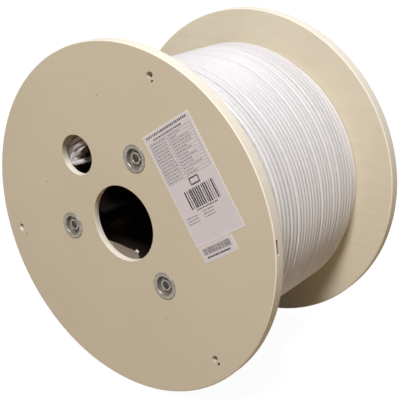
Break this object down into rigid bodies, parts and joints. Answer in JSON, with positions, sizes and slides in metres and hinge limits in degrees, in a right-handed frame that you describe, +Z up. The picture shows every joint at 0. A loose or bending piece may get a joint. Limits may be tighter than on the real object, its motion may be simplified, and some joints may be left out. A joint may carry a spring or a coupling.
{
  "type": "wooden cable drum",
  "caption": "Plywood cable drum with a spindle bore, a hollow barrel clamped by tie bolts, and a full winding of white data cable.",
  "frame": {"origin": "on the floor under the middle of the drum, which lies on its two flange rims", "axes": "+Z up, Y along the drum's axis with the labelled front flange towards -Y, +X to the right seen from the front"},
  "size_m": [0.3999, 0.26, 0.4],
  "materials": {
    "plywood": "sanded poplar plywood, bare",
    "barrel_board": "wound kraft board tube",
    "cable_sheath": "extruded white PVC sheath",
    "zinc_steel": "zinc-plated pressed and turned steel",
    "label_paper": "printed self-adhesive paper"
  },
  "bodies": {
    "root": {"front_flange": "plywood", "rear_flange": "plywood", "barrel": "barrel_board", "cable_winding": "cable_sheath", "front_cup_washer_1": "zinc_steel", "rear_cup_washer_1": "zinc_steel", "nut_1": "zinc_steel", "tie_bolt_1": "zinc_steel", "front_cup_washer_2": "zinc_steel", "rear_cup_washer_2": "zinc_steel", "nut_2": "zinc_steel", "tie_bolt_2": "zinc_steel", "front_cup_washer_3": "zinc_steel", "rear_cup_washer_3": "zinc_steel", "nut_3": "zinc_steel", "tie_bolt_3": "zinc_steel", "label": "label_paper", "small_sticker": "label_paper"}
  },
  "joints": []
}
